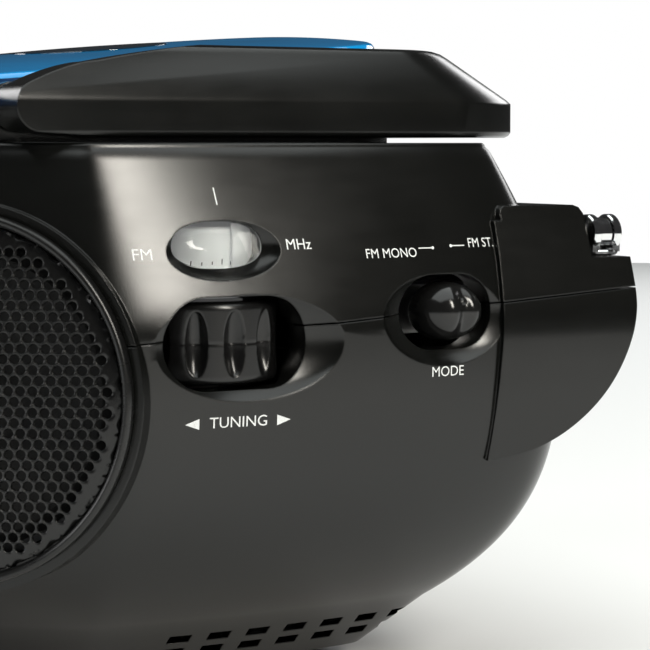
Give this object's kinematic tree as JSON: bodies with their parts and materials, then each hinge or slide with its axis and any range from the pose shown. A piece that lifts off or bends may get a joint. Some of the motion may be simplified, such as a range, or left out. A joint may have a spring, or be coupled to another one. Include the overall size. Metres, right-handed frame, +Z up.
{
  "type": "portable cd player",
  "caption": "Compact black portable CD player with FM radio: bowl-shaped case, corner speakers, blue CD lid, folding carry handle, side tuning wheel and telescopic antenna.",
  "frame": {"origin": "on the table under the middle of the case", "axes": "+X is the listener's right when facing the front, +Y points to the back, +Z up; the front faces -Y"},
  "size_m": [0.2272, 0.1962, 0.1369],
  "materials": {
    "case_abs": "satin black moulded ABS with fine grain",
    "handle_abs": "satin black moulded ABS",
    "blue_gloss": "high gloss bright blue ABS",
    "smoked_clear": "smoked clear polystyrene pane",
    "clear_lens": "clear acrylic lens",
    "deck_abs": "black moulded plastic",
    "control_gloss": "glossy black ABS",
    "dial_white": "white printed dial drum",
    "key_silver": "silver lacquered keys",
    "grille_steel": "black lacquered perforated sheet steel",
    "ring_plastic": "black ABS trim ring",
    "driver_steel": "zinc plated pressed steel basket with its magnet",
    "cone_paper": "black coated paper cone",
    "antenna_chrome": "chrome plated brass tube",
    "steel_rod": "ground steel rod",
    "nylon_screw": "white acetal screw",
    "motor_can": "plated steel can",
    "pivot_black": "black acetal pin",
    "lcd_glass": "grey green liquid crystal glass",
    "pcb_green": "green circuit board",
    "capacitor_clear": "milky film tuning capacitor case",
    "pot_case": "plated potentiometer case",
    "transformer_steel": "varnished laminations and bobbin",
    "contact_nickel": "nickel plated spring steel",
    "inlet_black": "black inlet socket with two pins",
    "foot_rubber": "black rubber foot"
  },
  "bodies": {
    "case": {"lower_shell": "case_abs", "upper_shell": "case_abs", "front_panel": "blue_gloss", "display_lens": "smoked_clear", "dial_window": "clear_lens", "cd_well": "deck_abs", "cd_chassis": "deck_abs", "speaker_grille_right": "grille_steel", "speaker_grille_left": "grille_steel", "grille_ring_right": "ring_plastic", "grille_ring_left": "ring_plastic", "speaker_frame_right": "driver_steel", "speaker_frame_left": "driver_steel", "speaker_cone_right": "cone_paper", "speaker_cone_left": "cone_paper", "guide_rod_right": "steel_rod", "guide_rod_left": "steel_rod", "lead_screw": "nylon_screw", "spindle_motor": "motor_can", "sled_motor": "motor_can", "mode_switch": "motor_can", "function_switch": "motor_can", "handle_pivot_right": "pivot_black", "handle_pivot_left": "pivot_black", "lcd_module": "lcd_glass", "key_board": "pcb_green", "main_board": "pcb_green", "tuning_capacitor": "capacitor_clear", "volume_control": "pot_case", "transformer": "transformer_steel", "battery_contact_right": "contact_nickel", "battery_contact_left": "contact_nickel", "mains_inlet": "inlet_black", "foot_front_right": "foot_rubber", "foot_front_left": "foot_rubber", "foot_rear_right": "foot_rubber", "foot_rear_left": "foot_rubber"},
    "lid": {"cd_lid": "blue_gloss", "lid_window": "smoked_clear", "lid_hinge_pin": "steel_rod"},
    "handle": {"carry_handle": "handle_abs"},
    "tuner": {"tuning_wheel": "control_gloss", "dial_drum": "dial_white"},
    "volume": {"volume_wheel": "control_gloss"},
    "mode_knob": {"mode_slider": "control_gloss"},
    "function_knob": {"function_slider": "control_gloss"},
    "antenna_turret": {"antenna_base": "antenna_chrome"},
    "antenna_1": {"antenna_tube_1": "antenna_chrome"},
    "antenna_2": {"antenna_tube_2": "antenna_chrome"},
    "antenna_3": {"antenna_tube_3": "antenna_chrome"},
    "antenna_4": {"antenna_tip": "antenna_chrome"},
    "hub": {"turntable_hub": "deck_abs"},
    "sled": {"pickup_sled": "deck_abs"},
    "door": {"battery_door": "case_abs"},
    "key_skip_back_body": {"key_skip_back": "key_silver"},
    "key_play_pause_body": {"key_play_pause": "key_silver"},
    "key_skip_forward_body": {"key_skip_forward": "key_silver"},
    "key_repeat_body": {"key_repeat": "key_silver"},
    "key_stop_body": {"key_stop": "key_silver"},
    "key_program_body": {"key_program": "key_silver"}
  },
  "joints": [
    {"name": "lid_hinge", "type": "hinge", "parent": "case", "child": "lid", "pos_m": [0, 0.055, 0.1295], "axis": [-1, 0, 0], "range_deg": [0, 70]},
    {"name": "handle_hinge", "type": "hinge", "parent": "case", "child": "handle", "pos_m": [0, -0.031, 0.1189], "axis": [1, 0, 0], "range_deg": [0, 90]},
    {"name": "tuning_turn", "type": "hinge", "parent": "case", "child": "tuner", "pos_m": [0.095, 0.003, 0.0736], "axis": [0, 0, 1], "range_deg": [-135, 135]},
    {"name": "volume_turn", "type": "hinge", "parent": "case", "child": "volume", "pos_m": [-0.095, 0.003, 0.0736], "axis": [0, 0, 1], "range_deg": [-135, 135]},
    {"name": "mode_slide", "type": "slide", "parent": "case", "child": "mode_knob", "axis": [0, 1, 0], "range_m": [-0.0048, 0.0018]},
    {"name": "function_slide", "type": "slide", "parent": "case", "child": "function_knob", "axis": [0, 1, 0], "range_m": [-0.0048, 0.0018]},
    {"name": "antenna_swivel", "type": "hinge", "parent": "case", "child": "antenna_turret", "pos_m": [0.1025, 0.0937, 0.088], "axis": [0, 0, -1], "range_deg": [0, 180]},
    {"name": "antenna_tilt", "type": "hinge", "parent": "antenna_turret", "child": "antenna_1", "pos_m": [0.1025, 0.0937, 0.0929], "axis": [0, 1, 0], "range_deg": [0, 90]},
    {"name": "antenna_pull_1", "type": "slide", "parent": "antenna_1", "child": "antenna_2", "axis": [-1, 0, 0], "range_m": [0, 0.165]},
    {"name": "antenna_pull_2", "type": "slide", "parent": "antenna_2", "child": "antenna_3", "axis": [-1, 0, 0], "range_m": [0, 0.16]},
    {"name": "antenna_pull_3", "type": "slide", "parent": "antenna_3", "child": "antenna_4", "axis": [-1, 0, 0], "range_m": [0, 0.155]},
    {"name": "disc_spin", "type": "hinge", "parent": "case", "child": "hub", "pos_m": [0, -0.009, 0.108], "axis": [0, 0, 1], "continuous": true},
    {"name": "sled_travel", "type": "slide", "parent": "case", "child": "sled", "axis": [0, -1, 0], "range_m": [0, 0.028]},
    {"name": "door_pull", "type": "slide", "parent": "case", "child": "door", "axis": [0, 1, 0], "range_m": [0, 0.03]},
    {"name": "skip_back_press", "type": "slide", "parent": "case", "child": "key_skip_back_body", "axis": [0, 1, 0], "range_m": [0, 0.0012], "stiffness_N_per_m": 400},
    {"name": "play_pause_press", "type": "slide", "parent": "case", "child": "key_play_pause_body", "axis": [0, 1, 0], "range_m": [0, 0.0012], "stiffness_N_per_m": 400},
    {"name": "skip_forward_press", "type": "slide", "parent": "case", "child": "key_skip_forward_body", "axis": [0, 1, 0], "range_m": [0, 0.0012], "stiffness_N_per_m": 400},
    {"name": "repeat_press", "type": "slide", "parent": "case", "child": "key_repeat_body", "axis": [0, 1, 0], "range_m": [0, 0.0012], "stiffness_N_per_m": 400},
    {"name": "stop_press", "type": "slide", "parent": "case", "child": "key_stop_body", "axis": [0, 1, 0], "range_m": [0, 0.0012], "stiffness_N_per_m": 400},
    {"name": "program_press", "type": "slide", "parent": "case", "child": "key_program_body", "axis": [0, 1, 0], "range_m": [0, 0.0012], "stiffness_N_per_m": 400}
  ]
}
